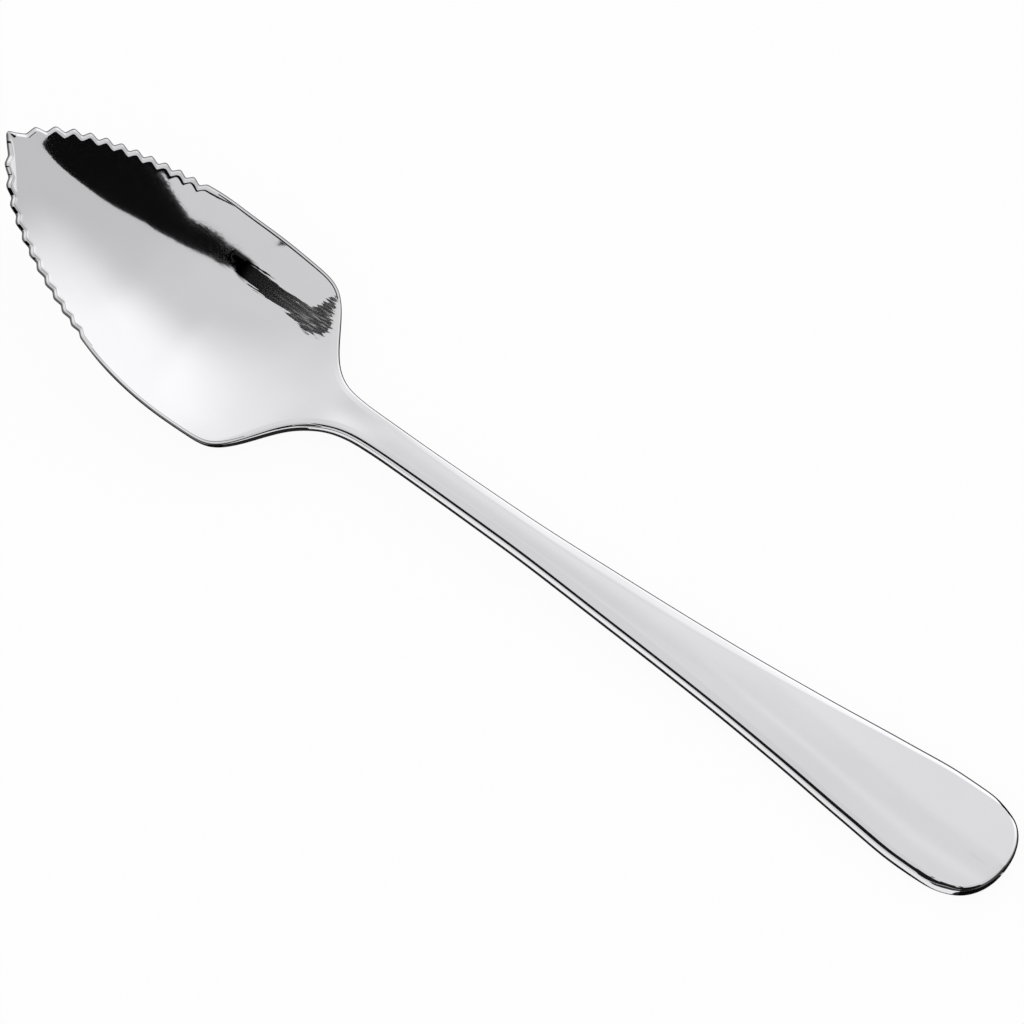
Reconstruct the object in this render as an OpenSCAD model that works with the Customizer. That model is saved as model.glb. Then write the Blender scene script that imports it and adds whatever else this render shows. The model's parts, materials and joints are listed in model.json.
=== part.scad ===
// Grapefruit spoon: one stamped and polished piece of stainless steel.
// It lies as it rests on a table: X runs from the bowl's tip to the handle's
// end, Z is up, and z = 0 is the table. Every cross-section is symmetric in Y.
// The origin is on the table, halfway along the spoon. The functions below
// count x from the bowl's tip, and the finished solid is moved to the origin.

/* [Lengths] */
// Length of the bowl, from its tip to the middle of the heel
bowl_l = 50; // [40:1:62]
// Length of the neck, from the heel to the start of the handle
neck_l = 12; // [8:0.5:18]
// Length of the handle, from the neck to its rounded end
handle_l = 93.6; // [70:0.2:120]
// Length of the rounded end of the handle
cap_l = 8; // [5:0.5:12]

/* [Bowl] */
// Widest width of the bowl
bowl_w = 30.66; // [24:0.02:38]
// Depth of the dish below the rim, halfway along the bowl
bowl_depth = 5.15; // [3:0.05:7]
// Thickness of the metal in the floor of the bowl
bowl_t = 0.9; // [0.6:0.05:1.4]
// Height of the tip above the rim at the lowest place
tip_rise = 10.5; // [5:0.1:13]
// Drop of the rim from the lowest place to the heel
heel_drop = 2.15; // [0.5:0.05:3]
// Width of the flat ground rim, along the teeth
rim_w = 0.64; // [0.4:0.02:1]
// Height of the ground rim's outer edge
rim_t = 0.3; // [0.24:0.02:0.5]
// Radius of the rim's rounded edges
rim_r = 0.1; // [0.05:0.01:0.12]
// Width of the plain rim's flat top, behind the teeth
plain_w = 0.3; // [0.2:0.02:0.6]
// Height of the plain rim's outer edge, behind the teeth
plain_t = 0.5; // [0.3:0.02:0.8]
// Length over which the ground rim runs out into the plain one
taper_l = 6; // [3:0.5:10]

/* [Serration] */
// Number of teeth on each side of the tip
tooth_count = 12; // [6:1:14]
// Spacing of the teeth along the spoon
tooth_pitch = 1.84; // [1.4:0.02:2.2]
// Depth of a tooth, measured down the wall of the bowl
tooth_depth = 0.75; // [0.3:0.05:1]
// Length of the pointed tip, up to the first tooth on each side
tip_l = 2.08; // [1.6:0.04:2.8]
// Width of the blunt point at the tip
tip_w = 0.4; // [0.3:0.05:0.8]

/* [Handle] */
// Width of the stem at its narrowest place
stem_w = 4.9; // [3.8:0.1:6]
// Widest width of the handle, near its end
handle_w = 15.75; // [11:0.05:19]
// Thickness of the handle at its edges
handle_t = 2; // [1.6:0.1:3]
// Height of the handle's flat back above the table, where the neck ends
back_h = 3.16; // [2:0.02:4.5]
// Depth of the shallow scoop in the wide end of the handle
scoop_depth = 0.12; // [0:0.02:0.6]
// Rise of the handle's end above the line of its straight back
end_lift = 0.74; // [0:0.02:1]
// Height of the gentle arch in the handle's wide part
arch_h = 0.12; // [0:0.02:0.4]
// Width of the gentle slope along the edges of the handle's top
crown_w = 1.6; // [1:0.1:2]
// Fall of that slope towards the edge
crown_h = 0.06; // [0:0.01:0.15]
// Radius of the handle's edges on top
top_r = 0.55; // [0.3:0.05:0.7]
// Radius of the handle's edges at the back
edge_r = 0.5; // [0.3:0.05:0.7]

/* [Hidden] */

spoon_l = bowl_l + neck_l + handle_l;
neck_x = bowl_l + neck_l;
cap_x = spoon_l - cap_l;
rim_low_h = bowl_t + bowl_depth;
tip_h = rim_low_h + tip_rise;
heel_h = rim_low_h - heel_drop;

// Points of a rounded edge: [inset from the side, fall from the face], as shares of its radius
round_shares = [[1, 0], [0.5, 0.134], [0.134, 0.5], [0, 1]];
back_round_shares = [[0, 1], [0.3, 0.3], [1, 0]];
// Limits of the rim's width and rounding at the tip, as shares of its half-width
rim_limit_share = 0.6;
round_limit_share = 0.3;
// Form of the dish's cross-section: near 0 it is a parabola, more gives straighter walls
dish_spread = 1.6;
// Power of the superellipse that rounds the end of the handle
cap_power = 2.25;

// Half-width of the bowl: [share of bowl_l, share of the bowl's half-width]
bowl_plan_shares = [[0, 0], [0.041, 0.2115], [0.116, 0.458], [0.226, 0.668],
                    [0.408, 0.885], [0.53, 0.97], [0.68, 1], [0.8, 0.98]];
// Shoulder and neck: [share of bowl_l, share of the way from stem to bowl width]
shoulder_shares = [[0.853, 0.93], [0.897, 0.765], [0.937, 0.517], [0.988, 0.234]];
// Neck: [share of neck_l, share of the way from stem to bowl width]
neck_plan_shares = [[0.26, 0.058], [0.58, 0.008], [1, 0]];
// Handle: [share of its length up to the cap, share of the way from stem to handle width]
handle_plan_shares = [[0.2, 0.039], [0.4, 0.194], [0.58, 0.379], [0.72, 0.59],
                      [0.86, 0.853], [0.955, 0.995], [1, 1]];

// Rim from tip to low point: [share of bowl_l, share of tip_rise]
tip_rim_shares = [[0, 1], [0.078, 0.842], [0.19, 0.62], [0.335, 0.381],
                  [0.48, 0.165], [0.6, 0]];
// Rim from low point to heel: [share of bowl_l, share of heel_drop]
heel_rim_shares = [[0.72, 0.46], [0.8, 0.684], [0.88, 0.902], [0.96, 1]];
// Edge from heel to handle: [share of neck_l, share of the way up to the stem's top]
neck_rim_shares = [[0, 0.07], [0.33, 0.713], [0.6, 0.972]];
// Start of the upward curve of the handle's end, as a share of handle_l
lift_share = 0.32;
// Start of the straight handle, as a share of neck_l
straight_share = 0.85;

// Floor from tip to low point: [share of bowl_l, share of the fall from the tip]
floor_tip_shares = [[0, 1], [0.012, 0.97], [0.066, 0.83], [0.12, 0.705], [0.18, 0.58],
                    [0.26, 0.436], [0.36, 0.276], [0.48, 0.109], [0.6, 0.006], [0.64, 0]];
// Floor from low point to heel: [share of bowl_l, share of the way up to the stem's top]
floor_heel_shares = [[0.72, 0.1], [0.8, 0.267], [0.88, 0.478], [0.96, 0.655]];
// Floor from heel to handle: [share of neck_l, share of the way up to the stem's top]
floor_neck_shares = [[0.17, 0.79], [0.5, 0.95]];

// Growth of the edge from plain rim to handle: [share of bowl_l or neck_l, share of the way]
grow_bowl_shares = [[0.8, 0], [0.87, 0.3], [0.93, 0.75]];
grow_neck_shares = [[0.17, 0.88], [0.85, 1]];
// Growth of the floor from bowl to handle: [share of bowl_l or neck_l, share of the way]
floor_t_bowl_shares = [[0.64, 0], [0.8, 0.2], [0.92, 0.6]];
floor_t_neck_shares = [[0.17, 0.8], [0.85, 1]];

// Growth of the metal behind the tip: [share of bowl_l, share of bowl_t]
floor_t_tip_shares = [[0, 0.7], [0.12, 1]];

// Cut beside the pointed tip: [share of tip_l, share of tooth_depth]
tip_notch_shares = [[0, 0], [0.31, 0.4], [0.62, 0.9], [0.85, 0.35]];
// A tooth, from its rounded peak to the next: [share of tooth_pitch, share of tooth_depth]
tooth_shares = [[0, 0], [0.12, 0.16], [0.5, 1], [0.88, 0.16]];
// Depth of the scoop along the handle: [share of handle_l, share of scoop_depth]
scoop_shares = [[0.1, 0], [0.45, 0.5], [0.75, 1], [0.9, 0.9], [1, 0]];

// Facets: stations along each part, and points across the top and the back
bowl_stations = 26;
neck_stations = 14;
handle_stations = 26;
cap_stations = 14;
top_points = 17;
back_points = 13;
// Steps along the spoon for the direction of its outline
slope_steps = 4000;
// Angle where the last cross-section stands, just short of the handle's end
cap_end_angle = 89.4;

// A knot's two shares turned into a place along X and a size
function knots(shares, x0, length, from, to) =
    [for (s = shares) [x0 + s[0] * length, from + s[1] * (to - from)]];

bowl_half = bowl_w / 2;
stem_half = stem_w / 2;
plan_knots = concat(
    knots(bowl_plan_shares, 0, bowl_l, tip_w / 2, bowl_half),
    knots(shoulder_shares, 0, bowl_l, stem_half, bowl_half),
    knots(neck_plan_shares, bowl_l, neck_l, stem_half, bowl_half),
    knots(handle_plan_shares, neck_x, handle_l - cap_l, stem_half, handle_w / 2));

// The handle's back: a straight line down from the neck, whose end flattens in an arch
function back_line(x) =
    let (down = (x - neck_x) / handle_l,
         up = max(0, (down - lift_share) / (1 - lift_share)))
    back_h - down * (back_h + end_lift) + end_lift * up * up
    + arch_h * pow(4 * up * (1 - up), 2);
straight_x = bowl_l + neck_l * straight_share;
stem_top_h = back_line(straight_x) + handle_t;
straight_knots = [for (x = [straight_x, neck_x]) [x, back_line(x) + handle_t]];
edge_knots = concat(
    knots(tip_rim_shares, 0, bowl_l, rim_low_h, tip_h),
    knots(heel_rim_shares, 0, bowl_l, rim_low_h, heel_h),
    knots(neck_rim_shares, bowl_l, neck_l, heel_h, stem_top_h),
    straight_knots);
floor_knots = concat(
    knots(floor_tip_shares, 0, bowl_l, bowl_t, tip_h),
    knots(floor_heel_shares, 0, bowl_l, bowl_t, stem_top_h),
    knots(floor_neck_shares, bowl_l, neck_l, bowl_t, stem_top_h),
    straight_knots);
grow_knots = concat(
    [[0, 0]],
    knots(grow_bowl_shares, 0, bowl_l, 0, 1),
    knots(grow_neck_shares, bowl_l, neck_l, 0, 1),
    [[spoon_l, 1]]);
serration_l = tip_l + (tooth_count - 1) * tooth_pitch;
ground_knots = [[0, 1], [serration_l, 1], [serration_l + taper_l, 0], [spoon_l, 0]];
floor_t_knots = concat(
    knots(floor_t_tip_shares, 0, bowl_l, 0, bowl_t),
    knots(floor_t_bowl_shares, 0, bowl_l, bowl_t, handle_t),
    knots(floor_t_neck_shares, bowl_l, neck_l, bowl_t, handle_t),
    [[spoon_l, handle_t]]);
scoop_knots = concat([[0, 0]], knots(scoop_shares, neck_x, handle_l, 0, scoop_depth));

// Smooth curve through knots: cubic pieces whose slopes never overshoot
function rate(k, i) = (k[i + 1][1] - k[i][1]) / (k[i + 1][0] - k[i][0]);
function slope(k, i) =
    i == 0 ? rate(k, 0) :
    i == len(k) - 1 ? rate(k, i - 1) :
    let (a = rate(k, i - 1), b = rate(k, i))
    a * b <= 0 ? 0 : 2 * a * b / (a + b);
function piece(k, x, i = 0) = i >= len(k) - 2 || x < k[i + 1][0] ? i : piece(k, x, i + 1);
function smooth(k, x) =
    let (i = piece(k, x),
         h = k[i + 1][0] - k[i][0],
         t = (x - k[i][0]) / h)
    (1 + 2 * t) * (1 - t) * (1 - t) * k[i][1] + t * (1 - t) * (1 - t) * h * slope(k, i)
    + t * t * (3 - 2 * t) * k[i + 1][1] - t * t * (1 - t) * h * slope(k, i + 1);

function half_width(x) = smooth(plan_knots, x);
function edge_height(x) = x < neck_x ? smooth(edge_knots, x) : back_line(x) + handle_t;
function dish_height(x) = x < neck_x ? min(smooth(floor_knots, x), edge_height(x)) : edge_height(x);
function floor_height(x) = dish_height(x) - smooth(scoop_knots, x);
function floor_thickness(x) = smooth(floor_t_knots, x) - smooth(scoop_knots, x);

// A size of the edge at x, from its sizes at the ground rim, the plain rim and the handle
function edge_size(x, ground, plain, handle) =
    plain + smooth(grow_knots, x) * (handle - plain) + smooth(ground_knots, x) * (ground - plain);
function edge_thickness(x) = edge_size(x, rim_t, plain_t, handle_t);
function edge_width(x) = edge_size(x, rim_w, plain_w, crown_w);
function edge_fall(x) = edge_size(x, 0, 0, crown_h);
function top_round(x) = edge_size(x, rim_r, rim_r, top_r);
function back_round(x) = edge_size(x, rim_r, rim_r, edge_r);

// Outline stations: [x, half-width, normal x, normal y, share of a tooth's depth]
function outline(x) =
    let (step = spoon_l / slope_steps,
         x0 = max(x - step, 0),
         x1 = min(x + step, cap_x),
         across = half_width(x1) - half_width(x0),
         along = x1 - x0,
         size = norm([along, across]))
    [x, half_width(x), -across / size, along / size];
function cap_station(a) =
    let (u = pow(sin(a), 2 / cap_power),
         v = pow(cos(a), 2 / cap_power),
         half = handle_w / 2,
         nx = pow(u, cap_power - 1) / cap_l,
         ny = pow(v, cap_power - 1) / half,
         size = norm([nx, ny]))
    [cap_x + cap_l * u, half * v, nx / size, ny / size, 0];
stations = concat(
    [for (k = tip_notch_shares) concat(outline(k[0] * tip_l), k[1])],
    [for (tooth = [0 : tooth_count - 2]) for (k = tooth_shares)
        concat(outline(tip_l + (tooth + k[0]) * tooth_pitch), k[1])],
    [concat(outline(serration_l), 0)],
    [for (i = [1 : bowl_stations])
        concat(outline(serration_l + i * (bowl_l - serration_l) / bowl_stations), 0)],
    [for (i = [1 : neck_stations]) concat(outline(bowl_l + i * neck_l / neck_stations), 0)],
    [for (i = [1 : handle_stations])
        concat(outline(neck_x + i * (cap_x - neck_x) / handle_stations), 0)],
    [for (i = [1 : cap_stations]) cap_station(i * cap_end_angle / cap_stations)]);

// The dish across, as a share of its depth at a share s of the way from middle to edge
wall_span = norm([1, dish_spread]) - 1;
wall_slope = dish_spread * dish_spread / norm([1, dish_spread]) / wall_span;
function dished(s) = (norm([1, dish_spread * s]) - 1) / wall_span;

// Heights of the top and the back at a share s of the way from middle to edge
function top_height(x, s) =
    let (low = floor_height(x)) low + (edge_height(x) - low) * dished(s);
function back_height(x, s) =
    let (low = floor_height(x) - floor_thickness(x),
         high = edge_height(x) - edge_thickness(x))
    low + (high - low) * dished(s);

// Half of a cross-section's edge, from the top inwards round to the back:
// [inset from the outline, height below the top edge, height above the back edge]
function edge_profile(w, fall, top, back) = concat(
    [[w, 0, undef]],
    [for (p = round_shares) [p[0] * top, fall + p[1] * top, undef]],
    [for (p = back_round_shares) [p[0] * back, undef, p[1] * back]]);

// One closed ring of points at an outline station
function ring(s) =
    let (x = s[0],
         half = s[1],
         normal = [s[2], s[3]],
         width = min(edge_width(x), rim_limit_share * half),
         top = min(top_round(x), round_limit_share * half),
         back = min(back_round(x), round_limit_share * half),
         wall = (edge_height(x) - floor_height(x)) * wall_slope / half,
         cut = s[4] * tooth_depth / norm([1, wall]),
         inner = [x, half] - (width + cut) * normal,
         full_inner = max(half - width * s[3], inner[1]),
         top_edge = top_height(inner[0], inner[1] / full_inner),
         outer = [x, half] - (back + cut) * normal,
         full_outer = max(half - back * s[3], outer[1]),
         back_edge = back_height(outer[0], outer[1] / full_outer),
         side = [for (p = edge_profile(width, edge_fall(x), top, back))
                    let (xy = [x, half] - (p[0] + cut) * normal)
                    [xy[0], xy[1], is_undef(p[2]) ? top_edge - p[1] : back_edge + p[2]]],
         above = [for (i = [1 : top_points])
                    let (k = 1 - 2 * i / (top_points + 1))
                    [inner[0], k * inner[1], top_height(inner[0], abs(k) * inner[1] / full_inner)]],
         below = [for (i = [1 : back_points])
                    let (k = 2 * i / (back_points + 1) - 1)
                    [outer[0], k * outer[1],
                     back_height(outer[0], abs(k) * outer[1] / full_outer)]],
         other = [for (i = [0 : len(side) - 1]) [side[i][0], -side[i][1], side[i][2]]],
         n = len(side) - 1)
    concat(above, other, below, [for (i = [n : -1 : 0]) side[i]]);

// Solid through all rings, closed by one point at each end
module loft(rings, first, last) {
    m = len(rings[0]);
    n = len(rings);
    points = concat([for (r = rings) for (p = r) p], [first, last]);
    walls = [for (i = [0 : n - 2]) for (j = [0 : m - 1])
        let (a = i * m + j,
             b = i * m + (j + 1) % m,
             c = b + m,
             d = a + m)
        each [[a, c, b], [a, d, c]]];
    start = [for (j = [0 : m - 1]) [j, (j + 1) % m, n * m]];
    end = [for (j = [0 : m - 1]) [(n - 1) * m + (j + 1) % m, (n - 1) * m + j, n * m + 1]];
    polyhedron(points, concat(walls, start, end));
}

module spoon() {
    rings = [for (s = stations) ring(s)];
    tip_z = edge_height(0) - edge_thickness(0) / 2;
    end_z = handle_t / 2;
    color("silver") translate([-spoon_l / 2, 0, 0])
        loft(rings, [0, 0, tip_z], [spoon_l, 0, end_z]);
}

spoon();
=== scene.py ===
"""Looks of the grapefruit spoon: mirror-polished steel, as a fine mesh with the part's own named sizes."""
import math

import bmesh
import bpy
import numpy as np
from mathutils import Matrix, Vector
from mathutils.geometry import tessellate_polygon
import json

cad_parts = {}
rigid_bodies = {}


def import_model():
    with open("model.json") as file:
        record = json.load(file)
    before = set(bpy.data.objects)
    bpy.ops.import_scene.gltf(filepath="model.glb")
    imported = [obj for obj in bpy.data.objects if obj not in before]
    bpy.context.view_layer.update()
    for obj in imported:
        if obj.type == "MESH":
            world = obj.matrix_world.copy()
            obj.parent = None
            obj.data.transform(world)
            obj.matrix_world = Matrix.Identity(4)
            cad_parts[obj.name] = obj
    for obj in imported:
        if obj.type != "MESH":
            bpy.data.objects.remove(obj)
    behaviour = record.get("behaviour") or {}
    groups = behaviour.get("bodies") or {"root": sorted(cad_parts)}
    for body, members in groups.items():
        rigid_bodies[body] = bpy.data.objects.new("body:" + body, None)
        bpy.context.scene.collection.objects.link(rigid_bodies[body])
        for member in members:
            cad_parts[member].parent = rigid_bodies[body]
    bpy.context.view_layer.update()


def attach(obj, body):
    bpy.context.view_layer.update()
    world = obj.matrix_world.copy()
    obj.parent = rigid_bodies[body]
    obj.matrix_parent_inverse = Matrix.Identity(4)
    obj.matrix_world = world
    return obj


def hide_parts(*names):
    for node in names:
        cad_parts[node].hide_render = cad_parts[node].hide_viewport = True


for old in list(bpy.data.objects):
    bpy.data.objects.remove(old)
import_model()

MM = 0.001

# Sizes of the part, in millimetres. Places are counted from the bowl's tip along X
BOWL_L, NECK_L, HANDLE_L, CAP_L = 50.0, 12.0, 93.6, 8.0
BOWL_W, BOWL_DEPTH, BOWL_T, TIP_RISE, HEEL_DROP = 30.66, 5.15, 0.9, 10.5, 2.15
RIM_W, RIM_T, RIM_R, PLAIN_W, PLAIN_T, TAPER_L = 0.64, 0.3, 0.1, 0.3, 0.5, 6.0
TOOTH_COUNT, TOOTH_PITCH, TOOTH_DEPTH, TIP_L, TIP_W = 12, 1.84, 0.75, 2.08, 0.4
STEM_W, HANDLE_W, HANDLE_T, BACK_H = 4.9, 15.75, 2.0, 3.16
END_LIFT, ARCH_H, EDGE_R, CROWN_H = 0.74, 0.12, 0.5, 0.06

SPOON_L = BOWL_L + NECK_L + HANDLE_L
NECK_X = BOWL_L + NECK_L
CAP_X = SPOON_L - CAP_L
SERRATION_L = TIP_L + (TOOTH_COUNT - 1) * TOOTH_PITCH
RIM_LOW_H = BOWL_T + BOWL_DEPTH
TIP_H = RIM_LOW_H + TIP_RISE
HEEL_H = RIM_LOW_H - HEEL_DROP

# Shares along each part and across it, as in the part's source
BOWL_PLAN = [(0, 0), (0.041, 0.2115), (0.116, 0.458), (0.226, 0.668),
             (0.408, 0.885), (0.53, 0.97), (0.68, 1), (0.8, 0.98)]
SHOULDER = [(0.853, 0.93), (0.897, 0.765), (0.937, 0.517), (0.988, 0.234)]
NECK_PLAN = [(0.26, 0.058), (0.58, 0.008), (1, 0)]
HANDLE_PLAN = [(0.2, 0.039), (0.4, 0.194), (0.58, 0.379), (0.72, 0.59),
               (0.86, 0.853), (0.955, 0.995), (1, 1)]
TIP_RIM = [(0, 1), (0.078, 0.842), (0.19, 0.62), (0.335, 0.381), (0.48, 0.165), (0.6, 0)]
HEEL_RIM = [(0.72, 0.46), (0.8, 0.684), (0.88, 0.902), (0.96, 1)]
NECK_RIM = [(0, 0.07), (0.33, 0.713), (0.6, 0.972)]
FLOOR_TIP = [(0, 1), (0.012, 0.97), (0.066, 0.83), (0.12, 0.705), (0.18, 0.58),
             (0.26, 0.436), (0.36, 0.276), (0.48, 0.109), (0.6, 0.006), (0.64, 0)]
FLOOR_HEEL = [(0.72, 0.1), (0.8, 0.267), (0.88, 0.478), (0.96, 0.655)]
FLOOR_NECK = [(0.17, 0.79), (0.5, 0.95)]
GROW_BOWL = [(0.8, 0), (0.87, 0.3), (0.93, 0.75)]
GROW_NECK = [(0.17, 0.88), (0.85, 1)]
FLOOR_T_TIP = [(0, 0.7), (0.12, 1)]
FLOOR_T_BOWL = [(0.64, 0), (0.8, 0.2), (0.92, 0.6)]
FLOOR_T_NECK = [(0.17, 0.8), (0.85, 1)]
TIP_NOTCH = [(0, 0), (0.31, 0.4), (0.62, 0.9), (0.85, 0.35)]
TOOTH = [(0, 0), (0.12, 0.16), (0.5, 1), (0.88, 0.16)]
LIFT_SHARE, STRAIGHT_SHARE = 0.32, 0.85
RIM_LIMIT_SHARE, ROUND_LIMIT_SHARE = 0.6, 0.3
DISH_SPREAD, CAP_POWER = 1.6, 2.25

# What only the looks have, as places along the spoon with sizes there: the fall and the width of
# the handle's crowned edges, the rise of its middle, and the radius of its edges on top
CROWN_DROPS = [(0, 0), (56, 0), (66, 0.08), (80, 0.17), (100, 0.19), (115, 0.15), (130, 0.11),
               (SPOON_L, 0.09)]
CROWN_WIDTHS = [(0, 1.2), (62, 1.2), (80, 1.75), (100, 1.9), (115, 1.6), (130, 1.3),
                (147, 1.1), (152, 0.75), (SPOON_L, 0.7)]
BELLY_RISES = [(0, 0), (52, 0), (58, 0.04), (75, 0.04), (92, 0.07), (120, 0.09), (150, 0.06),
               (SPOON_L, 0.03)]
TOP_RADII = [(0, 0.6), (110, 0.6), (140, 0.68), (149, 0.68), (153, 0.45), (SPOON_L, 0.3)]
# Radii on top of the ground and plain rims, and widths of the soft turn from the dish to its rim
RIM_TOP_R, PLAIN_TOP_R = 0.04, 0.08
RIM_FLARE, PLAIN_FLARE, HANDLE_FLARE = 0.95, 0.8, 0.24
# Over this length at the tip the turn grows from a share of its width
FLARE_TIP_L, FLARE_TIP_SHARE, FLARE_LIMIT_SHARE = 5.0, 0.35, 0.45
# The rim's droop at the very tip, the handle's shorter and softer end, and the teeth's worn points
TIP_DROOP, TIP_DROOP_L = 0.06, 1.5
END_TRIM, END_BACK_R, END_TURN_L = 0.5, 0.9, 4.0
WORN_TOOTH_SHARE = 0.8
# Share of the crown's width over which it curves down
CROWN_TURN = 0.4

# The fine mesh: spacing of the curves' tables, and reach of the easing that makes curves flow
STEP = 0.02
EASE, GROUND_EASE, TOOTH_EASE = 1.3, 0.6, 0.11
TIP_REACH, TIP_EASE, CAP_REACH, CAP_EASE = 0.6, 0.12, 3.0, 0.9
# Points across the top and the back, and round the blunt tip and the end
TOP_POINTS, BACK_POINTS, TIP_POINTS, END_POINTS = 57, 37, 12, 1600
# Spacing of the cross-sections along the outline: close at the teeth and at the turn of the end
SPACINGS = [(0, 0.05), (TIP_L, 0.08), (TIP_L + 1, 0.1), (SERRATION_L + 1, 0.1), (SERRATION_L + 5, 0.3),
            (NECK_X, 0.32), (NECK_X + 12, 0.6), (CAP_X - 6, 0.6), (CAP_X, 0.3)]
# Steps across the edge: shares of the flare, of the crown and of the top's rounding, and degrees
# of the back's rounding
FLARE_STEPS = (0, 0.2, 0.38, 0.52, 0.63, 0.72, 0.8, 0.87, 0.94, 1)
CROWN_STEPS = (0.1, 0.2, 0.3, 0.4, 0.6, 0.8)
TOP_ROUND_STEPS = (0, 0.12, 0.24, 0.36, 0.48, 0.6, 0.7, 0.8, 0.9, 1)
BACK_ROUND_STEPS = (90, 75, 60, 45, 30, 15, 0)
# Vertices nearer than the first are joined, and faces thinner than the second dissolve, in metres
WELD, SLIVER = 2e-6, 1e-6
# The least half-width and depth that sums divide by, and the furthest out that a face is drawn on
TINY, TINY_DEPTH, BEYOND_SHARE = 1e-4, 1e-5, 1.2


def smooth(t):
    """A soft start and end for a share from 0 to 1."""
    return t * t * (3 - 2 * t)


def rise(value, low, high):
    """A soft rise from 0 at low to 1 at high."""
    return smooth(np.clip((value - low) / (high - low), 0, 1))


def knots(shares, start, length, low, high):
    """Places and heights, from shares of a length and of the way from low to high."""
    return [(start + s * length, low + t * (high - low)) for s, t in shares]


def between(points, x):
    """Straight lines through points."""
    return np.interp(x, *np.array(points, float).T)


def through(points, x):
    """A smooth curve through points, whose slopes never overshoot."""
    px, py = np.array(points, float).T
    h = np.diff(px)
    rate = np.diff(py) / h
    a, b = rate[:-1], rate[1:]
    mean = np.where(a * b > 0, 2 * a * b / np.where(a * b > 0, a + b, 1), 0)
    slope = np.concatenate([rate[:1], mean, rate[-1:]])
    i = np.clip(np.searchsorted(px, x, side="right") - 1, 0, len(px) - 2)
    t, h = (x - px[i]) / h[i], h[i]
    return ((1 + 2 * t) * (1 - t) ** 2 * py[i] + t * (1 - t) ** 2 * h * slope[i]
            + t * t * (3 - 2 * t) * py[i + 1] - t * t * (1 - t) * h * slope[i + 1])


def blurred(f, sigma, even=False):
    """f eased over sigma millimetres, turned over or mirrored at both ends."""
    pad = int(4 * sigma / STEP)
    left, right = f[pad:0:-1], f[-2:-pad - 2:-1]
    if not even:
        left, right = 2 * f[0] - left, 2 * f[-1] - right
    k = np.exp(-0.5 * (np.arange(-pad, pad + 1) * STEP / sigma) ** 2)
    return np.convolve(np.concatenate([left, f, right]), k / k.sum(), "valid")


def eased(f, sigma=EASE):
    """f eased without flattening its broad curves."""
    once = blurred(f, sigma)
    return 2 * once - blurred(once, sigma)


def back_line(x):
    """Height of the handle's back: straight, then lifting to its end, with a gentle arch."""
    down = (x - NECK_X) / HANDLE_L
    up = np.maximum(0, (down - LIFT_SHARE) / (1 - LIFT_SHARE))
    bow = 16 * (up * (1 - up)) ** 2
    return BACK_H - down * (BACK_H + END_LIFT) + END_LIFT * up * up + ARCH_H * bow


# Tables along the spoon, with a value for each place in X
X = np.arange(0, SPOON_L + STEP / 2, STEP)


def at(table, x):
    return np.interp(x, X, table)


straight_x = BOWL_L + NECK_L * STRAIGHT_SHARE
stem_top = float(back_line(straight_x)) + HANDLE_T
straight = [(x, float(back_line(x)) + HANDLE_T) for x in (straight_x, NECK_X)]
handle_top = back_line(X) + HANDLE_T
rim_line = through(
    knots(TIP_RIM, 0, BOWL_L, RIM_LOW_H, TIP_H) + knots(HEEL_RIM, 0, BOWL_L, RIM_LOW_H, HEEL_H)
    + knots(NECK_RIM, BOWL_L, NECK_L, HEEL_H, stem_top) + straight, X)
floor_line = through(
    knots(FLOOR_TIP, 0, BOWL_L, BOWL_T, TIP_H) + knots(FLOOR_HEEL, 0, BOWL_L, BOWL_T, stem_top)
    + knots(FLOOR_NECK, BOWL_L, NECK_L, BOWL_T, stem_top) + straight, X)
edge_h = np.where(X < NECK_X, rim_line, handle_top)
floor_h = np.where(X < NECK_X, np.minimum(floor_line, edge_h), handle_top)

# Shares of a place's edge that are the handle's, and ground
grow = eased(through([(0, 0)] + knots(GROW_BOWL, 0, BOWL_L, 0, 1)
                     + knots(GROW_NECK, BOWL_L, NECK_L, 0, 1) + [(SPOON_L, 1)], X))
ground = eased(through([(0, 1), (SERRATION_L, 1), (SERRATION_L + TAPER_L, 0), (SPOON_L, 0)], X),
               GROUND_EASE)


def edge_size(rim, plain, handle):
    """A size of the edge along the spoon: ground rim, plain rim and handle."""
    return plain + grow * (handle - plain) + ground * (rim - plain)


floor_t = through(
    knots(FLOOR_T_TIP, 0, BOWL_L, 0, BOWL_T) + knots(FLOOR_T_BOWL, 0, BOWL_L, BOWL_T, HANDLE_T)
    + knots(FLOOR_T_NECK, BOWL_L, NECK_L, BOWL_T, HANDLE_T) + [(SPOON_L, HANDLE_T)], X)
plan = through(
    knots(BOWL_PLAN, 0, BOWL_L, TIP_W / 2, BOWL_W / 2)
    + knots(SHOULDER, 0, BOWL_L, STEM_W / 2, BOWL_W / 2)
    + knots(NECK_PLAN, BOWL_L, NECK_L, STEM_W / 2, BOWL_W / 2)
    + knots(HANDLE_PLAN, NECK_X, HANDLE_L - CAP_L, STEM_W / 2, HANDLE_W / 2), X[X <= CAP_X])
edge_h, floor_h, floor_t, plan = eased(edge_h), eased(floor_h), eased(floor_t), eased(plan)
edge_h -= TIP_DROOP * np.exp(-X / TIP_DROOP_L)
floor_h = np.minimum(floor_h, edge_h)
back_floor = floor_h - floor_t
back_edge = edge_h - edge_size(RIM_T, PLAIN_T, HANDLE_T)

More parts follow.
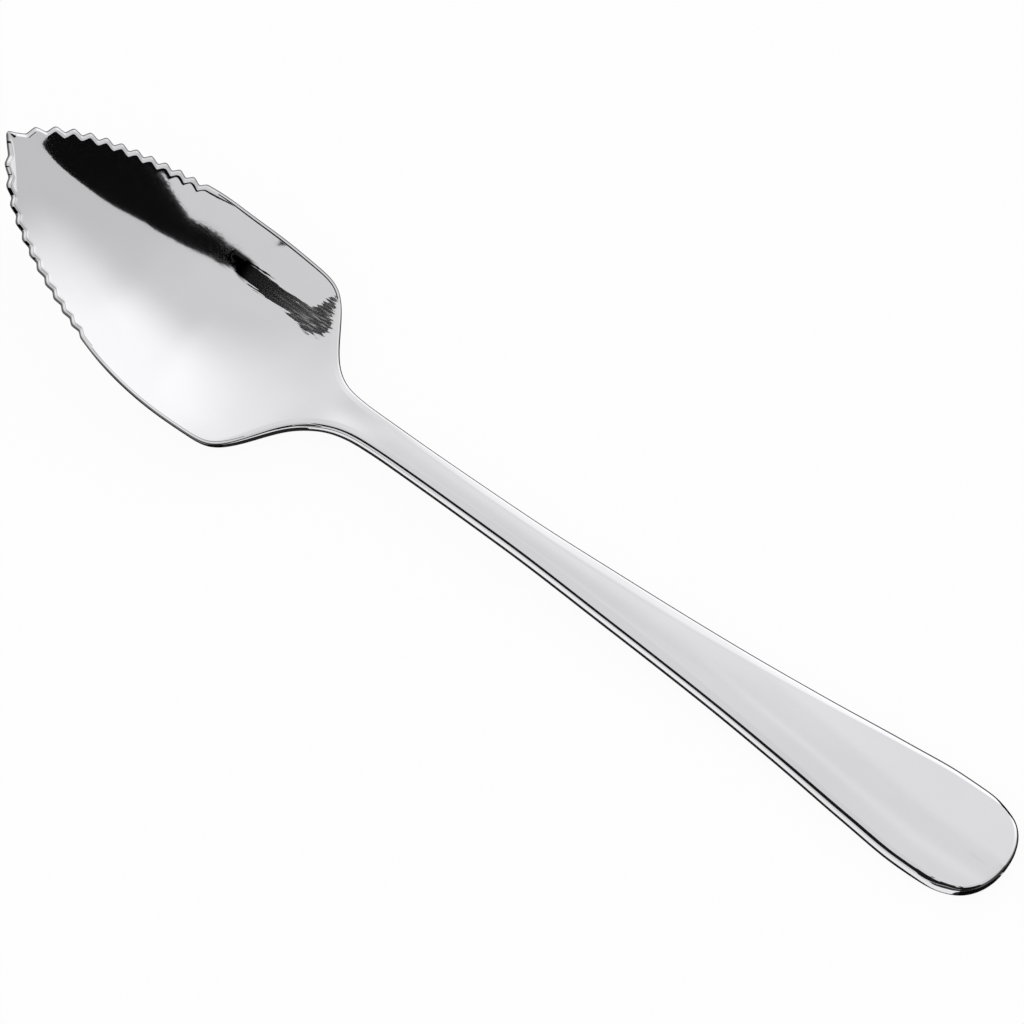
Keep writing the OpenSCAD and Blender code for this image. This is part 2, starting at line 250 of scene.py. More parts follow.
# The looks' own crown stands on the part's outer edge, and the handle's middle rises over it
crown_drop = grow * through(CROWN_DROPS, X)
raised = crown_drop - CROWN_H * grow
floor_h = np.where(X > NECK_X, edge_h, floor_h) + raised + through(BELLY_RISES, X)
edge_h = edge_h + raised
edge_w = edge_size(RIM_W, PLAIN_W, through(CROWN_WIDTHS, X))
top_r = edge_size(RIM_TOP_R, PLAIN_TOP_R, through(TOP_RADII, X))
at_end = through([(0, 0), (CAP_X - END_TURN_L, 0), (CAP_X + END_TURN_L, 1), (SPOON_L, 1)], X)
back_r = edge_size(RIM_R, RIM_R, EDGE_R) + (END_BACK_R - EDGE_R) * at_end
flare_w = edge_size(RIM_FLARE, PLAIN_FLARE, HANDLE_FLARE) * np.clip(X / FLARE_TIP_L, FLARE_TIP_SHARE, 1)

# Depth of the teeth along X, as a share of a whole tooth
tooth_knots = [(k * TIP_L, d) for k, d in TIP_NOTCH]
tooth_knots += [(TIP_L + (tooth + k) * TOOTH_PITCH, d)
                for tooth in range(TOOTH_COUNT - 1) for k, d in TOOTH]
tooth_knots += [(SERRATION_L, 0), (SPOON_L, 0)]
tooth_share = WORN_TOOTH_SHARE * blurred(between(tooth_knots, X), TOOTH_EASE)

# Outline in plan, from the tip round the +Y side to the handle's end
quarter = np.linspace(0, math.pi / 2, END_POINTS)
outline = np.concatenate([
    np.column_stack([np.zeros(TIP_POINTS), np.linspace(0, TIP_W / 2, TIP_POINTS, endpoint=False)]),
    np.column_stack([X[:len(plan)], plan]),
    np.column_stack([CAP_X + (CAP_L - END_TRIM) * np.sin(quarter) ** (2 / CAP_POWER),
                     plan[-1] * np.maximum(np.cos(quarter), 0) ** (2 / CAP_POWER)])[1:]])
length = np.concatenate([[0], np.cumsum(np.hypot(*np.diff(outline, axis=0).T))])
track = np.arange(0, length[-1], STEP)
line_x, line_y = np.interp(track, length, outline[:, 0]), np.interp(track, length, outline[:, 1])
cap_at = track[np.searchsorted(line_x, CAP_X)]
for centre, reach, sigma in ((0, TIP_REACH, TIP_EASE), (cap_at, CAP_REACH, CAP_EASE)):
    near_it = smooth(np.clip(2 - np.abs(track - centre) / reach, 0, 1))
    line_x = line_x + near_it * (blurred(line_x, sigma, even=True) - line_x)
    line_y = line_y + near_it * (blurred(line_y, sigma) - line_y)
step_x, step_y = np.gradient(line_x), np.gradient(line_y)
size = np.hypot(step_x, step_y)
line_out_x, line_out_y = -step_y / size, step_x / size
line_out_x[0], line_out_y[0] = -1, 0
line_out_x[-1], line_out_y[-1] = 1, 0

# The cross-sections' places on the outline, and the outward direction there
count = np.cumsum(STEP / between(SPACINGS, line_x))
count -= count[0]
rings = int(round(count[-1]))
stations = np.interp(np.linspace(0, count[-1], rings), count, track)
side_x, side_y, out_x, out_y = (np.interp(stations, track, line)
                                for line in (line_x, line_y, line_out_x, line_out_y))
size = np.hypot(out_x, out_y)
out_x, out_y = out_x / size, out_y / size
side_y[0] = side_y[-1] = 0
half = np.maximum(side_y, TINY)


def held(table, limit):
    """A size of the edge, which stays below a share of the half-width up to the rounded end."""
    here = at(table, side_x)
    return np.where(side_x > CAP_X, here, np.minimum(here, limit * half))


rim_w = held(edge_w, RIM_LIMIT_SHARE)
top_round, back_round = held(top_r, ROUND_LIMIT_SHARE), held(back_r, ROUND_LIMIT_SHARE)
drop = at(crown_drop, side_x)
# Half-widths along X up to the uncut inner edge of the top and outer edge of the back
inner_at = np.interp(X, side_x - rim_w * out_x, np.maximum(side_y - rim_w * out_y, 0))
outer_at = np.interp(X, side_x - back_round * out_x, np.maximum(side_y - back_round * out_y, 0))


def dished(s):
    """The dish across: round in the middle, with straighter walls."""
    return (np.sqrt(1 + (DISH_SPREAD * s) ** 2) - 1) / (math.hypot(1, DISH_SPREAD) - 1)


def surface(x, y, half_at, low_at, high_at):
    """Height of a dished face, from its middle line to its edge lines."""
    s = np.clip(np.abs(y) / np.maximum(at(half_at, x), TINY), 0, BEYOND_SHARE)
    low = at(low_at, x)
    return low + (at(high_at, x) - low) * dished(s)


def top_z(x, y):
    return surface(x, y, inner_at, floor_h, edge_h)


def back_z(x, y):
    return surface(x, y, outer_at, back_floor, back_edge)


# The teeth are cut down the wall, so their depth in plan shrinks where the wall is steep
steep = DISH_SPREAD ** 2 / math.hypot(1, DISH_SPREAD) / (math.hypot(1, DISH_SPREAD) - 1)
wall_slope = (at(edge_h, side_x) - at(floor_h, side_x)) * steep / np.maximum(half, 1)
cut = at(tooth_share, side_x) * TOOTH_DEPTH / np.hypot(1, wall_slope)


def inset(depth):
    """Points at a distance inside the cut outline."""
    return side_x - (depth + cut) * out_x, np.maximum(side_y - (depth + cut) * out_y, 0)


# The edge's profile at every cross-section, from the dish over the rim and round to the back
bevel = np.minimum(at(flare_w, side_x) / 4, FLARE_LIMIT_SHARE * (rim_w - top_round))
rim_z = top_z(*inset(rim_w))
wall_x, wall_y = inset(rim_w + 3 * bevel)
wall_z = top_z(wall_x, wall_y)
under_x, under_y = inset(np.maximum(back_round, TINY_DEPTH))
under_z = back_z(under_x, under_y)
depths = []
heights = []
for t in FLARE_STEPS:
    # Its slope falls with the cube of t
    depths.append(rim_w + bevel * (3 - 4 * t))
    heights.append(wall_z + (rim_z - wall_z) * (t - t ** 4 / 4) / 0.75)
for t in CROWN_STEPS:
    fallen = t * t / (2 * CROWN_TURN) if t < CROWN_TURN else t - CROWN_TURN / 2
    depths.append((rim_w - bevel) * (1 - t) + top_round * t)
    heights.append(rim_z - drop * fallen / (1 - CROWN_TURN / 2))
# The crown's slope, at which it meets the rounding smoothly
lean = np.arctan2(drop / (1 - CROWN_TURN / 2), rim_w - bevel - top_round)
tilts = [lean + (math.pi / 2 - lean) * t for t in TOP_ROUND_STEPS]
for tilt in tilts:
    size = top_round / (1 - np.sin(lean))
    depths.append(size * (1 - np.sin(tilt)))
    heights.append(rim_z - drop - size * (np.cos(lean) - np.cos(tilt)))
for tilt in np.radians(BACK_ROUND_STEPS):
    depths.append(back_round * (1 - math.sin(tilt)))
    heights.append(under_z + back_round * (1 - math.cos(tilt)))
profile = np.array([(*inset(depth), z) for depth, z in zip(depths, heights)]).transpose(1, 2, 0)

# Closed loops round each cross-section: the top from +Y to -Y, the near edge, the back, the far edge
k = np.linspace(1, -1, TOP_POINTS + 2)[1:-1]
top_x, top_y = wall_x[:, None] + 0 * k, wall_y[:, None] * k
top = np.array([top_x, top_y, top_z(top_x, top_y)])
k = np.linspace(-1, 1, BACK_POINTS + 2)[1:-1]
back_x, back_y = under_x[:, None] + 0 * k, under_y[:, None] * k
back = np.array([back_x, back_y, back_z(back_x, back_y)])
flip = np.array([1, -1, 1])[:, None, None]
loops = np.concatenate([top, profile * flip, back, profile[:, :, ::-1]], axis=2)
columns = loops.shape[2]
points = loops.transpose(1, 2, 0).reshape(-1, 3).copy()
points[:, 0] -= SPOON_L / 2
points *= MM
i, j = np.meshgrid(np.arange(rings - 1), np.arange(columns), indexing="ij")
this, beside = i * columns + j, i * columns + (j + 1) % columns
quads = np.stack([this, this + columns, beside + columns, beside], axis=-1).reshape(-1, 4)
mesh = bpy.data.meshes.new("spoon_steel")
mesh.from_pydata(points.tolist(), [], quads.tolist())

# Marks on the steel, as distances in millimetres that are positive inside a mark
OUTSIDE = -5.0
ROUNDING_ROW = len(FLARE_STEPS) + len(CROWN_STEPS)
BACK_ROW = ROUNDING_ROW + len(TOP_ROUND_STEPS)
# Where the dish was burnished: a streak along its far wall to the heel
STREAK = [(29.4, 9.6), (31.5, 8.9), (33, 8.6), (35, 8.35), (37, 8.2), (39, 8), (40.5, 7.5), (42, 7),
          (43.5, 6.8), (44.8, 7.2), (45.5, 8.3), (45.4, 9.6), (44.8, 10.6), (44.4, 11.6), (44, 12.6),
          (43.4, 13.3), (42.6, 13), (42.4, 12), (42.1, 11.2), (41.4, 10.6), (40, 10.35), (38, 10.35),
          (36, 10.5), (34.5, 10.6), (33, 10.7), (31.5, 10.7), (29.4, 10.6)]
# A seam behind the far rim, by its depth inside the outline, half its width, and the places
# between which it fades in and out
SEAM_DEPTH, SEAM_HALF_W = 0.45, 0.1
SEAM_IN, SEAM_OUT = (22, 24), (44, 45.5)
# A dark line in the near rounding of the handle's end: the rounding's tilt there and to each side
# in degrees, the places over which it starts, and the directions over which it ends
LINE_TILT, LINE_SPREAD, LINE_W, LINE_OUT = 30, 20, 0.2, 0.5
LINE_START, LINE_END = (144, 147), (60, 72)
# Painted dark reflection at the far and near edges, darkening the steel's colour, by its reach inside the
# outline
FAR_PAINTED_DARK = [(0, 0.17), (44, 0.17), (60, 0.34), (120, 0.4), (140, 0.52), (149, 0.5), (153, 0.3),
            (SPOON_L, 0.24)]
NEAR_PAINTED_DARK = [(0, 0.26), (20, 0.26), (24, 0.14), (44, 0.14), (50, OUTSIDE), (150, OUTSIDE), (152.5, 0.3)]
# A darker line behind the near rim, by its depth behind the teeth and behind the plain rim
DARK_LINE_FROM, DARK_LINE_SPLIT, DARK_LINE_TO, DARK_LINE_HALF_W = 3, 24, 46, 0.05
DARK_LINE_DEPTHS = (0.62, 0.42)


def depth_inside(ring, x, y):
    """How far inside a polygon each place lies, negative outside."""
    ring_x, ring_y = np.array(ring, float).T
    along_x, along_y = np.roll(ring_x, -1) - ring_x, np.roll(ring_y, -1) - ring_y
    x, y = x[:, None], y[:, None]
    t = ((x - ring_x) * along_x + (y - ring_y) * along_y) / (along_x * along_x + along_y * along_y)
    t = np.clip(t, 0, 1)
    away = np.hypot(x - ring_x - t * along_x, y - ring_y - t * along_y).min(axis=1)
    spans = (ring_y > y) != (ring_y + along_y > y)
    crossed = spans & (x < ring_x + (y - ring_y) * along_x / np.where(along_y == 0, 1, along_y))
    return np.where(crossed.sum(axis=1) % 2 == 1, away, -away)


def near_row(row):
    """The column of a row of the profile on the -Y side."""
    return TOP_POINTS + row


def far_row(row):
    """The column of a row of the profile on the +Y side."""
    return columns - 1 - row


def nothing():
    return np.full((rings, columns), OUTSIDE)


def streak_marks():
    """The streak, on the dish and on the rows that face up on the far side."""
    marks = nothing()
    upward = list(range(TOP_POINTS)) + [far_row(row) for row in reversed(range(BACK_ROW))]
    x, y = loops[0][:, upward], loops[1][:, upward]
    marks[:, upward] = depth_inside(STREAK, x.ravel(), y.ravel()).reshape(x.shape)
    return marks


def seam_marks():
    """The seam behind the far rim, and the line in the near rounding of the end."""
    marks = nothing()
    ended = (np.clip((SEAM_IN[1] - side_x) / (SEAM_IN[1] - SEAM_IN[0]), 0, 1)
             + np.clip((side_x - SEAM_OUT[0]) / (SEAM_OUT[1] - SEAM_OUT[0]), 0, 1))
    for row in range(ROUNDING_ROW):
        marks[:, far_row(row)] = SEAM_HALF_W - np.abs(depths[row] - SEAM_DEPTH) - ended
    facing = np.degrees(np.arctan2(out_x, out_y))
    shown = (np.clip((side_x - LINE_START[0]) / (LINE_START[1] - LINE_START[0]), 0, 1)
             * np.clip((LINE_END[1] - facing) / (LINE_END[1] - LINE_END[0]), 0, 1))
    for row, tilt in enumerate(np.degrees(tilts), ROUNDING_ROW):
        in_line = 1 - np.abs(tilt - LINE_TILT) / LINE_SPREAD
        marks[:, near_row(row)] = LINE_W * in_line - LINE_OUT * (1 - shown)
    return marks


def painted_dark_edges_and_line_marks():
    """Painted dark reflection along the outer edges, and a darker line behind the near rim."""
    marks = nothing()
    with_line = (side_x > DARK_LINE_FROM) & (side_x < DARK_LINE_TO)
    line_depth = np.where(side_x < DARK_LINE_SPLIT, *DARK_LINE_DEPTHS)
    far_reach, near_reach = between(FAR_PAINTED_DARK, side_x), between(NEAR_PAINTED_DARK, side_x)
    for row, depth in enumerate(depths[:BACK_ROW]):
        line = np.where(with_line, DARK_LINE_HALF_W - np.abs(depth - line_depth), OUTSIDE)
        marks[:, far_row(row)] = far_reach - depth
        marks[:, near_row(row)] = np.maximum(near_reach - depth, line)
    for row in range(BACK_ROW, len(depths)):
        marks[:, far_row(row)], marks[:, near_row(row)] = far_reach, near_reach
    return marks


# Broad, faint painted highlights and painted shade along the handle, with one scuff, as shares of its
# brightness. A painted bright ridge wanders towards the near side, by its places in X and Y
RIDGE = [(108, 0), (114, -0.8), (120, -1.4), (126, -1.9), (132, -2.6), (144, -3.9), (150, -3.8)]
RIDGE_SHEEN, RIDGE_START = 0.075, (104, 118)
RIDGE_W, RIDGE_WIDER, RIDGE_WIDENS = 0.55, 0.4, (126, 146)
BEYOND_SHEEN, BEYOND_START, FLAT_SHEEN = 0.055, (3.4, 5), -0.01
HANDLE_SHEEN, HANDLE_START = 0.04, (50, 66)
NEAR_SHEEN, NEAR_SIDE, NEAR_START, NEAR_END = 0.035, (0.9, 1.8), (58, 70), (112, 126)
SCUFF_SHEEN, SCUFF_AT, SCUFF_SIZE = -0.05, (151.5, -1.2), (1.4, 0.35)


def painted_sheen_and_scuff_marks(x, y):
    """How much brighter the steel is painted, as painted highlight and painted shade: on the handle, on
    its ridge and beyond, by the near edge; and how much darker in one faint scuff near its end."""
    off_ridge = y - between(RIDGE, x)
    ridge = np.exp(-(off_ridge / (RIDGE_W + RIDGE_WIDER * rise(x, *RIDGE_WIDENS))) ** 2)
    painted_sheen_and_scuff = HANDLE_SHEEN * rise(x, *HANDLE_START)
    painted_sheen_and_scuff += rise(x, *RIDGE_START) * (
        RIDGE_SHEEN * ridge + BEYOND_SHEEN * rise(off_ridge, *BEYOND_START) + FLAT_SHEEN)
    painted_sheen_and_scuff += NEAR_SHEEN * rise(-y, *NEAR_SIDE) * rise(x, *NEAR_START) * (1 - rise(x, *NEAR_END))
    scuff_x, scuff_y = (x - SCUFF_AT[0]) / SCUFF_SIZE[0], (y - SCUFF_AT[1]) / SCUFF_SIZE[1]
    return painted_sheen_and_scuff + SCUFF_SHEEN * np.exp(-scuff_x ** 2 - scuff_y ** 2)


for name, values in (("streak", streak_marks()), ("seam", seam_marks()), ("painted_dark_edges_and_line", painted_dark_edges_and_line_marks()),
                     ("painted_sheen_and_scuff", painted_sheen_and_scuff_marks(loops[0], loops[1]))):
    layer = mesh.attributes.new(name, "FLOAT", "POINT")
    layer.data.foreach_set("value", np.clip(values, OUTSIDE, -OUTSIDE).ravel())

steel = bpy.data.objects.new("spoon_steel", mesh)
bpy.context.scene.collection.objects.link(steel)
bm = bmesh.new()
bm.from_mesh(mesh)
bmesh.ops.remove_doubles(bm, verts=bm.verts, dist=WELD)
bmesh.ops.dissolve_degenerate(bm, edges=bm.edges, dist=SLIVER)
bmesh.ops.recalc_face_normals(bm, faces=bm.faces)
for face in bm.faces:
    face.smooth = True
bm.to_mesh(mesh)
bm.free()
mesh.update()


class Nodes:
    """Short ways to add nodes to a material or to the world."""

    def __init__(self, owner):
        owner.use_nodes = True
        self.tree = owner.node_tree

    def give(self, socket, value):
        """Link an output to a socket, or set the socket's own value."""
        if isinstance(value, bpy.types.NodeSocket):
            self.tree.links.new(value, socket)
        elif value is not None:
            socket.default_value = value

    def add(self, kind, *inputs, **props):
        """A new node with its first inputs linked or set."""
        made = self.tree.nodes.new(kind)
        for key, value in props.items():
            setattr(made, key, value)
        for socket, value in zip(made.inputs, inputs):
            self.give(socket, value)
        return made

    def calc(self, operation, *inputs):
        return self.add("ShaderNodeMath", *inputs, operation=operation).outputs[0]

    def vector(self, operation, *inputs):
        return self.add("ShaderNodeVectorMath", *inputs, operation=operation).outputs[0]

    def scaled(self, vector, share):
        return self.vector("SCALE", vector, None, None, share)

    def times(self, *values):
        """The product of two or more values."""
        product = values[0]
        for value in values[1:]:
            product = self.calc("MULTIPLY", product, value)
        return product

    def rise(self, value, low, high, out_low=0.0, out_high=1.0):
        """A soft rise from out_low at low to out_high at high."""
        return self.add("ShaderNodeMapRange", value, low, high, out_low, out_high,
                        interpolation_type="SMOOTHSTEP").outputs[0]

    def attribute(self, name):
        return self.add("ShaderNodeAttribute", attribute_name=name).outputs["Fac"]


# Colour of the steel, and its roughness where it is most and least polished
STEEL = (0.782, 0.78, 0.797)
ROUGHNESS, CLOUDS_FROM, CLOUDS_TO = (0.042, 0.062), -0.2, 0.2
# Grain sizes in millimetres along X, Y and Z: fine polishing lines, the streak's brush lines and
# ragged outline, and broad clouds
POLISH, BRUSH, RAGGED, CLOUD = (7, 0.18, 0.18), (6, 0.26, 0.26), (3, 0.24, 0.24), (14, 5, 5)
CLOUD_DETAIL = 3.0
POLISH_RIPPLE, CLOUD_TONE = 0.012, 0.07
RAGGED_W, STREAK_FROM, STREAK_TO = 1.8, -0.2, 0.4
BRUSH_DEPTH, BRUSH_LEVEL = 1.2, 0.92
SEAM_SOFT, DARK_MARK_SOFT = (-0.03, 0.06), (-0.04, 0.05)
# The burnished places lean towards the light's dark card
LEANING = (-0.009, -0.446, 0.895)
# Places in X from the spoon's middle: where the painted dark reflection at the edges gets darker, where
# the streak gets rougher, and where its start is painted so dark, as painted dark reflection, that no
# light line parts it from the reflection
DARK_MARK_X, DARK_MARK_TONES = (-30, 10), (0.78, 0.92)
STREAK_ROUGH_X, STREAK_ROUGHNESS = (-49, -35), 0.12
START_X, START_SOFT, PAINTED_DARK_START = (-46.3, -44.5), (-0.5, -0.1), 0.97


def polished_steel():
    """The steel: polished all over, burnished in the streak and the seam, with painted dark reflection at
    its edges, a darker line behind the near rim, painted highlights on the handle and a painted dark start
    to the streak.
    """
    made = bpy.data.materials.new("polished_steel")
    nodes = Nodes(made)
    bsdf = nodes.tree.nodes["Principled BSDF"]
    place = nodes.scaled(nodes.add("ShaderNodeTexCoord").outputs["Object"], 1 / MM)
    along = nodes.add("ShaderNodeSeparateXYZ", place).outputs["X"]

    def grain(sizes, detail=2.0):
        """Noise about zero."""
        fine = nodes.vector("MULTIPLY", place, tuple(1 / size for size in sizes))
        noise = nodes.add("ShaderNodeTexNoise", fine, None, 1.0, detail)
        return nodes.calc("SUBTRACT", noise.outputs["Fac"], 0.5)

    cloud = grain(CLOUD, CLOUD_DETAIL)
    streak_at = nodes.attribute("streak")
    ragged_at = nodes.calc("ADD", streak_at, nodes.times(grain(RAGGED), RAGGED_W))
    in_streak = nodes.rise(ragged_at, STREAK_FROM, STREAK_TO)
    brush = nodes.calc("ADD", nodes.times(grain(BRUSH), BRUSH_DEPTH), BRUSH_LEVEL)
    in_seam = nodes.rise(nodes.attribute("seam"), *SEAM_SOFT)
    burnished = nodes.calc("MINIMUM", nodes.calc("MAXIMUM", nodes.times(in_streak, brush), in_seam), 1.0)

    normal = nodes.add("ShaderNodeNewGeometry").outputs["Normal"]
    leaned = nodes.scaled(nodes.vector("SUBTRACT", LEANING, normal), burnished)
    lines = nodes.times(grain(POLISH), POLISH_RIPPLE)
    ripple = nodes.add("ShaderNodeCombineXYZ", 0.0, lines, 0.0).outputs[0]
    normal = nodes.vector("ADD", nodes.vector("ADD", normal, leaned), ripple)

    # Painted dark reflection: the steel's colour is darkened at its outer edges, and along a darker line
    # behind the near rim
    in_painted_dark_edges_and_line = nodes.rise(nodes.attribute("painted_dark_edges_and_line"), *DARK_MARK_SOFT)
    darker = nodes.times(in_painted_dark_edges_and_line, nodes.rise(along, *DARK_MARK_X, *DARK_MARK_TONES))
    tone = nodes.calc("ADD", nodes.calc("SUBTRACT", 1.0, darker), nodes.times(cloud, CLOUD_TONE))
    # Painted highlights and painted shade on the handle, with one scuff, brighten and darken the steel's
    # colour
    tone = nodes.calc("ADD", tone, nodes.attribute("painted_sheen_and_scuff"))
    # Painted dark reflection: the streak's start is darkened nearly to black in the steel's colour
    start = nodes.times(nodes.rise(streak_at, *START_SOFT), nodes.rise(along, *START_X, PAINTED_DARK_START, 0.0))
    tone = nodes.times(tone, nodes.calc("SUBTRACT", 1.0, start))

    rough = nodes.times(in_streak, nodes.rise(along, *STREAK_ROUGH_X, 0.0, STREAK_ROUGHNESS))
    rough = nodes.calc("ADD", nodes.rise(cloud, CLOUDS_FROM, CLOUDS_TO, *ROUGHNESS), rough)
    nodes.give(bsdf.inputs["Metallic"], 1.0)
    nodes.give(bsdf.inputs["Normal"], nodes.vector("NORMALIZE", normal))
    nodes.give(bsdf.inputs["Base Color"], nodes.scaled(STEEL, tone))
    nodes.give(bsdf.inputs["Roughness"], rough)
    return made


mesh.materials.append(polished_steel())
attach(steel, "root")
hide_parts("spoon")

# Camera at the photograph's angle: the picture's right and up, each with the same small turn, its
# scale, and the pixel where the part's origin lies
RIGHT, UP = Vector((0.8133, 0.5688, 0.1220)), Vector((-0.5471, 0.6764, 0.4931))
SMALL_TURN = Vector((0.0069, 0.0171, 0.0105))
LENS, SENSOR, CLIP = 1200, 36, (0.1, 20)
PICTURE_PX, PX_PER_M = 1024, 7986.0
ORIGIN_PX = (497.561, 535.348)


def photo_camera():
    right = (RIGHT + RIGHT.cross(SMALL_TURN)).normalized()
    up = UP + UP.cross(SMALL_TURN)
    up = (up - right * up.dot(right)).normalized()
    toward = right.cross(up)
    middle_px = PICTURE_PX / 2
    aim = right * ((middle_px - ORIGIN_PX[0]) / PX_PER_M) - up * ((middle_px - ORIGIN_PX[1]) / PX_PER_M)
    distance = PICTURE_PX * LENS / SENSOR / PX_PER_M
    data = bpy.data.cameras.new("camera")
    data.lens, data.sensor_width = LENS, SENSOR
    data.clip_start, data.clip_end = CLIP
    camera = bpy.data.objects.new("camera", data)
    bpy.context.scene.collection.objects.link(camera)
    turned = Matrix((right, up, toward)).transposed()
    camera.matrix_world = Matrix.Translation(aim + toward * distance) @ turned.to_4x4()
    bpy.context.scene.camera = camera


photo_camera()


def staged(name, verts, faces, material):
    """An object of the studio."""
    made = bpy.data.meshes.new(name)
    made.from_pydata(verts, [], faces)
    made.materials.append(material)
    obj = bpy.data.objects.new(name, made)
    bpy.context.scene.collection.objects.link(obj)
    return obj


def mirrored_card(name, verts, faces, level):
    """A glowing card of a given level that only the steel sees."""
    material = bpy.data.materials.new(name)
    nodes = Nodes(material)
    nodes.tree.nodes.clear()
    glow = nodes.add("ShaderNodeEmission", (1, 1, 1, 1), level)
    nodes.add("ShaderNodeOutputMaterial", glow.outputs[0])
    card = staged(name, verts, faces, material)
    card.visible_camera = card.visible_diffuse = card.visible_shadow = False


# Floor, in metres, just under the spoon: it is lit white for the camera and for the steel, and
# keeps a share of the spoon's own shadow
FLOOR_HALF, FLOOR_Z = 2.0, -1e-4
FLOOR_COLOUR, FLOOR_ROUGHNESS, FLOOR_SPECULAR, FLOOR_GLOW_SHARE = 0.93, 0.9, 0.2, 0.95


def pale_floor():
    made = bpy.data.materials.new("floor")
    nodes = Nodes(made)
    bsdf = nodes.tree.nodes["Principled BSDF"]
    nodes.give(bsdf.inputs["Base Color"], (FLOOR_COLOUR, FLOOR_COLOUR, FLOOR_COLOUR, 1))
    nodes.give(bsdf.inputs["Roughness"], FLOOR_ROUGHNESS)
    nodes.give(bsdf.inputs["Specular IOR Level"], FLOOR_SPECULAR)
    path = nodes.add("ShaderNodeLightPath")
    seen = nodes.calc("MAXIMUM", path.outputs["Is Camera Ray"], path.outputs["Is Glossy Ray"])
    glow = nodes.add("ShaderNodeEmission", (1, 1, 1, 1), 1.0)
    share = nodes.times(seen, FLOOR_GLOW_SHARE)
    mix = nodes.add("ShaderNodeMixShader", share, bsdf.outputs[0], glow.outputs[0])
    nodes.give(nodes.tree.nodes["Material Output"].inputs["Surface"], mix.outputs[0])
    return made


corners = [(x, y, FLOOR_Z) for x, y in ((-FLOOR_HALF, -FLOOR_HALF), (FLOOR_HALF, -FLOOR_HALF),
                                        (FLOOR_HALF, FLOOR_HALF), (-FLOOR_HALF, FLOOR_HALF))]
staged("floor", corners, [(0, 1, 2, 3)], pale_floor())

# Cards on the floor round the spoon, a painted shadow: dark sheets that stand in for the spoon's own
# shadow and draw its lower edges in the steel, grey by the teeth and dark by the rest, split at a place
# along the spoon. They reach far out on the far side, and on the near side a share of the edge's height
# and a little more
SHADOW_CARDS = (("painted_shadow_teeth", 0.2), ("painted_shadow_spoon", 0.02))
CARD_SPLIT, CARD_FAR, CARD_HEIGHT_SHARE, CARD_NEAR = 25.5, 25.0, 0.53, 0.6
CARD_Z, CARD_STRIDE = -0.05, 30
# An edge is on the near side by how far its outward direction turns towards -Y, and away from +X
NEAR_FROM, NEAR_EASE, END_FROM, END_EASE = 0.3, 0.4, 0.8, 0.3


# Painted shadow: dark cards that the steel mirrors in place of the spoon's own shadow on the floor
def painted_shadow_cards():
    x, y = line_x[::CARD_STRIDE], line_y[::CARD_STRIDE]
    toward_x, toward_y = line_out_x[::CARD_STRIDE], line_out_y[::CARD_STRIDE]
    near_reach = CARD_HEIGHT_SHARE * at(back_edge, x) + CARD_NEAR
    lines = []
    for side in (1, -1):
        near = (np.clip((-side * toward_y - NEAR_FROM) / NEAR_EASE, 0, 1)
                * np.clip((END_FROM - toward_x) / END_EASE, 0, 1))
        reach = CARD_FAR + near * (near_reach - CARD_FAR)
        lines += [(x + reach * toward_x, side * (y + reach * toward_y)), (x, side * y)][::side]
    verts = [((px - SPOON_L / 2) * MM, py * MM, CARD_Z * MM) for line in lines for px, py in zip(*line)]
    teeth = x[:-1] < CARD_SPLIT
    for (name, level), kept in zip(SHADOW_CARDS, (teeth, ~teeth)):
        strips = [(row * len(x) + q, (row + 1) * len(x) + q)
                  for row in range(len(lines) - 1) for q in np.flatnonzero(kept)]
        mirrored_card(name, verts, [(a, a + 1, b + 1, b) for a, b in strips], level)


painted_shadow_cards()

# Dark flags that polished metal needs to show its form, with their levels. Their outlines are as
# seen from the spoon, in degrees from the zenith towards +X and +Y
FLAG_DISTANCE, FLAG_PARTS = 6.0, 24
FLAGS = {
    "flag_front": (0.004, [
        (2.5, -17.2), (14, -17.2), (22, -17), (27, -16), (31.5, -15), (35, -13), (37, -11), (38, -9),
        (39.5, -7), (41, -5), (42.5, -3), (45.5, -1), (49.5, 1), (53, 2.2), (56, 2), (60.5, 0),
        (64, -2), (66, -4.5), (67.3, -7), (72, -12), (78, -28), (66, -34), (52, -34), (44, -31),
        (39.5, -24.2), (36, -23.8), (33, -23.7), (31.5, -23.1), (28.5, -22.8), (21, -22.65),
        (15, -22.35), (10, -21.7), (7, -20.7), (3, -19.4)]),
    "flag_low": (0.01, [
        (-16, -12.5), (-11, -12.5), (-7.5, -16.5), (-3, -18.3), (-1.2, -21), (-1.2, -26), (-3, -45),
        (-3, -62), (-40, -62), (-30, -40), (-21, -22)]),
    "flag_end": (0.035, [
        (9, -31), (25, -32), (38, -30.5), (52, -35), (78, -29), (89, -22), (94, 0), (96, -40),
        (70, -80), (20, -92), (4, -70), (5, -45)]),
    "flag_grey": (0.35, [
        (-42, -30), (-40, -48), (-46, -66), (-42, -80), (-64, -64), (-84, -34), (-90, -6), (-68, -6)]),
}


def on_dome(u, v):
    """The place on the flags' dome at degrees from the zenith towards +X and +Y."""
    tilt, turn = math.radians(math.hypot(u, v)), math.atan2(v, u)
    out = FLAG_DISTANCE * math.sin(tilt)
    return out * math.cos(turn), out * math.sin(turn), FLAG_DISTANCE * math.cos(tilt)


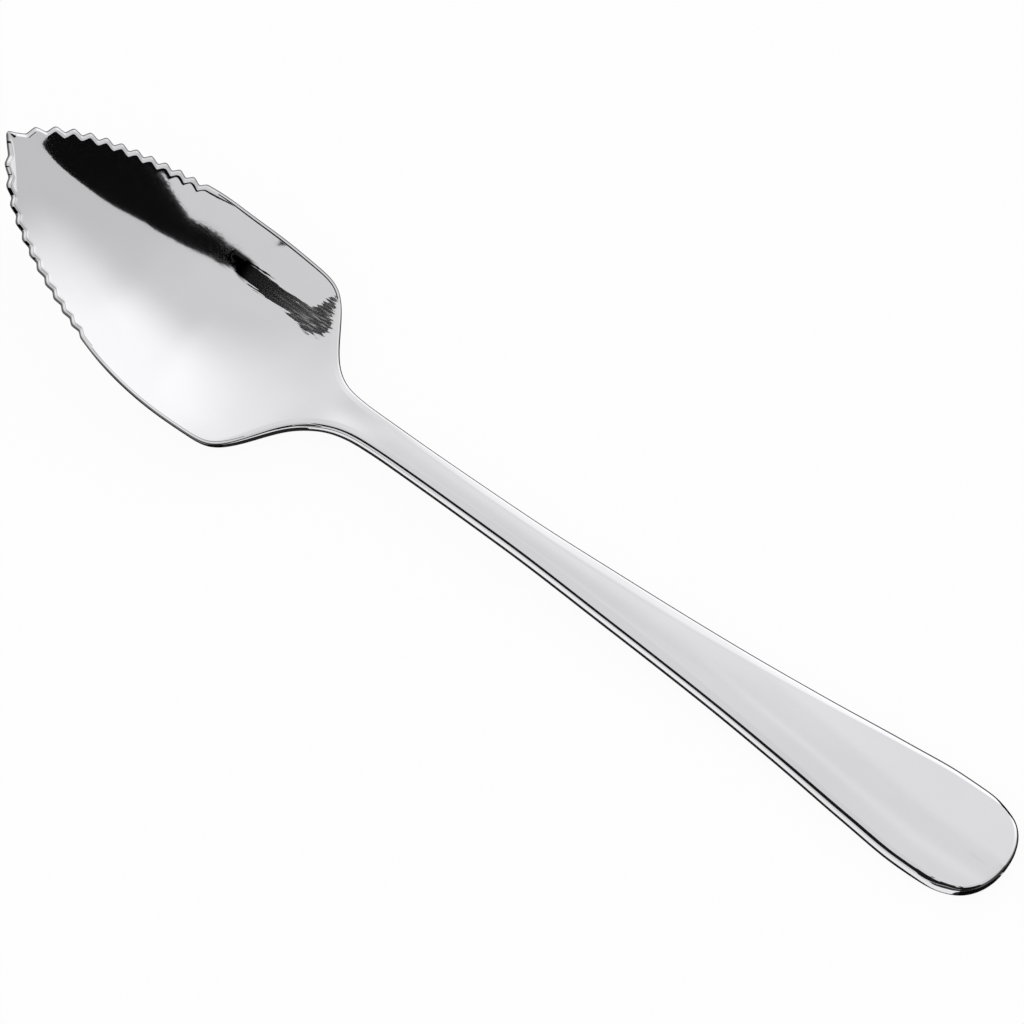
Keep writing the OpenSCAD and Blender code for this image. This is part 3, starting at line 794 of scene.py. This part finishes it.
def filled(ring):
    """A polygon cut into small triangles, which follow the dome closely."""
    verts, faces = [], []
    for triangle in tessellate_polygon([[Vector((u, v, 0)) for u, v in ring]]):
        a, b, c = (np.array(ring[corner]) for corner in triangle)
        for i in range(FLAG_PARTS + 1):
            first = len(verts)
            verts += [on_dome(*(a + (b - a) * (i - j) / FLAG_PARTS + (c - a) * j / FLAG_PARTS))
                      for j in range(i + 1)]
            for j in range(i):
                above = first - i + j
                faces.append((above, first + j, first + j + 1))
                if j < i - 1:
                    faces.append((above, first + j + 1, above + 1))
    return verts, faces


for name, (level, ring) in FLAGS.items():
    mirrored_card(name, *filled(ring), level)

# Studio light: a pale tent, brighter to the north, which is +Y, and to the west above it. Levels
# rise and fall between degrees from the zenith
BASE, NORTH, EAST, WEST = 0.76, 0.45, 0.1, 0.075
NORTH_RISE, EAST_RISE, WEST_RISE = (15, 75), (18, 46), (-18, 0)
EAST_ACROSS, WEST_ACROSS = (-25, -13), (5, 25)
TINY_OUT = 0.001


def studio_tent():
    world = bpy.data.worlds.new("studio")
    nodes = Nodes(world)
    unit = nodes.vector("NORMALIZE", nodes.add("ShaderNodeTexCoord").outputs["Generated"])
    axes = nodes.add("ShaderNodeSeparateXYZ", unit).outputs
    arc = nodes.calc("ARCCOSINE", axes["Z"])
    out = nodes.calc("MAXIMUM", nodes.calc("SINE", arc), TINY_OUT)
    degrees = nodes.times(nodes.calc("DIVIDE", arc, out), math.degrees(1))
    u, v = nodes.times(axes["X"], degrees), nodes.times(axes["Y"], degrees)
    east = nodes.rise(u, *EAST_RISE)
    west = nodes.calc("SUBTRACT", 1.0, nodes.rise(u, *WEST_RISE))
    bright = nodes.times(nodes.rise(v, *NORTH_RISE), NORTH, nodes.calc("SUBTRACT", 1.0, east))
    level = nodes.calc("SUBTRACT", nodes.calc("ADD", bright, BASE),
                       nodes.times(east, EAST, nodes.rise(v, *EAST_ACROSS)))
    level = nodes.calc("ADD", level, nodes.times(west, WEST, nodes.rise(v, *WEST_ACROSS)))
    background = nodes.tree.nodes["Background"]
    nodes.give(background.inputs["Color"], (1, 1, 1, 1))
    nodes.give(background.inputs["Strength"], level)
    bpy.context.scene.world = world


studio_tent()
bpy.context.scene.view_settings.view_transform = "Standard"
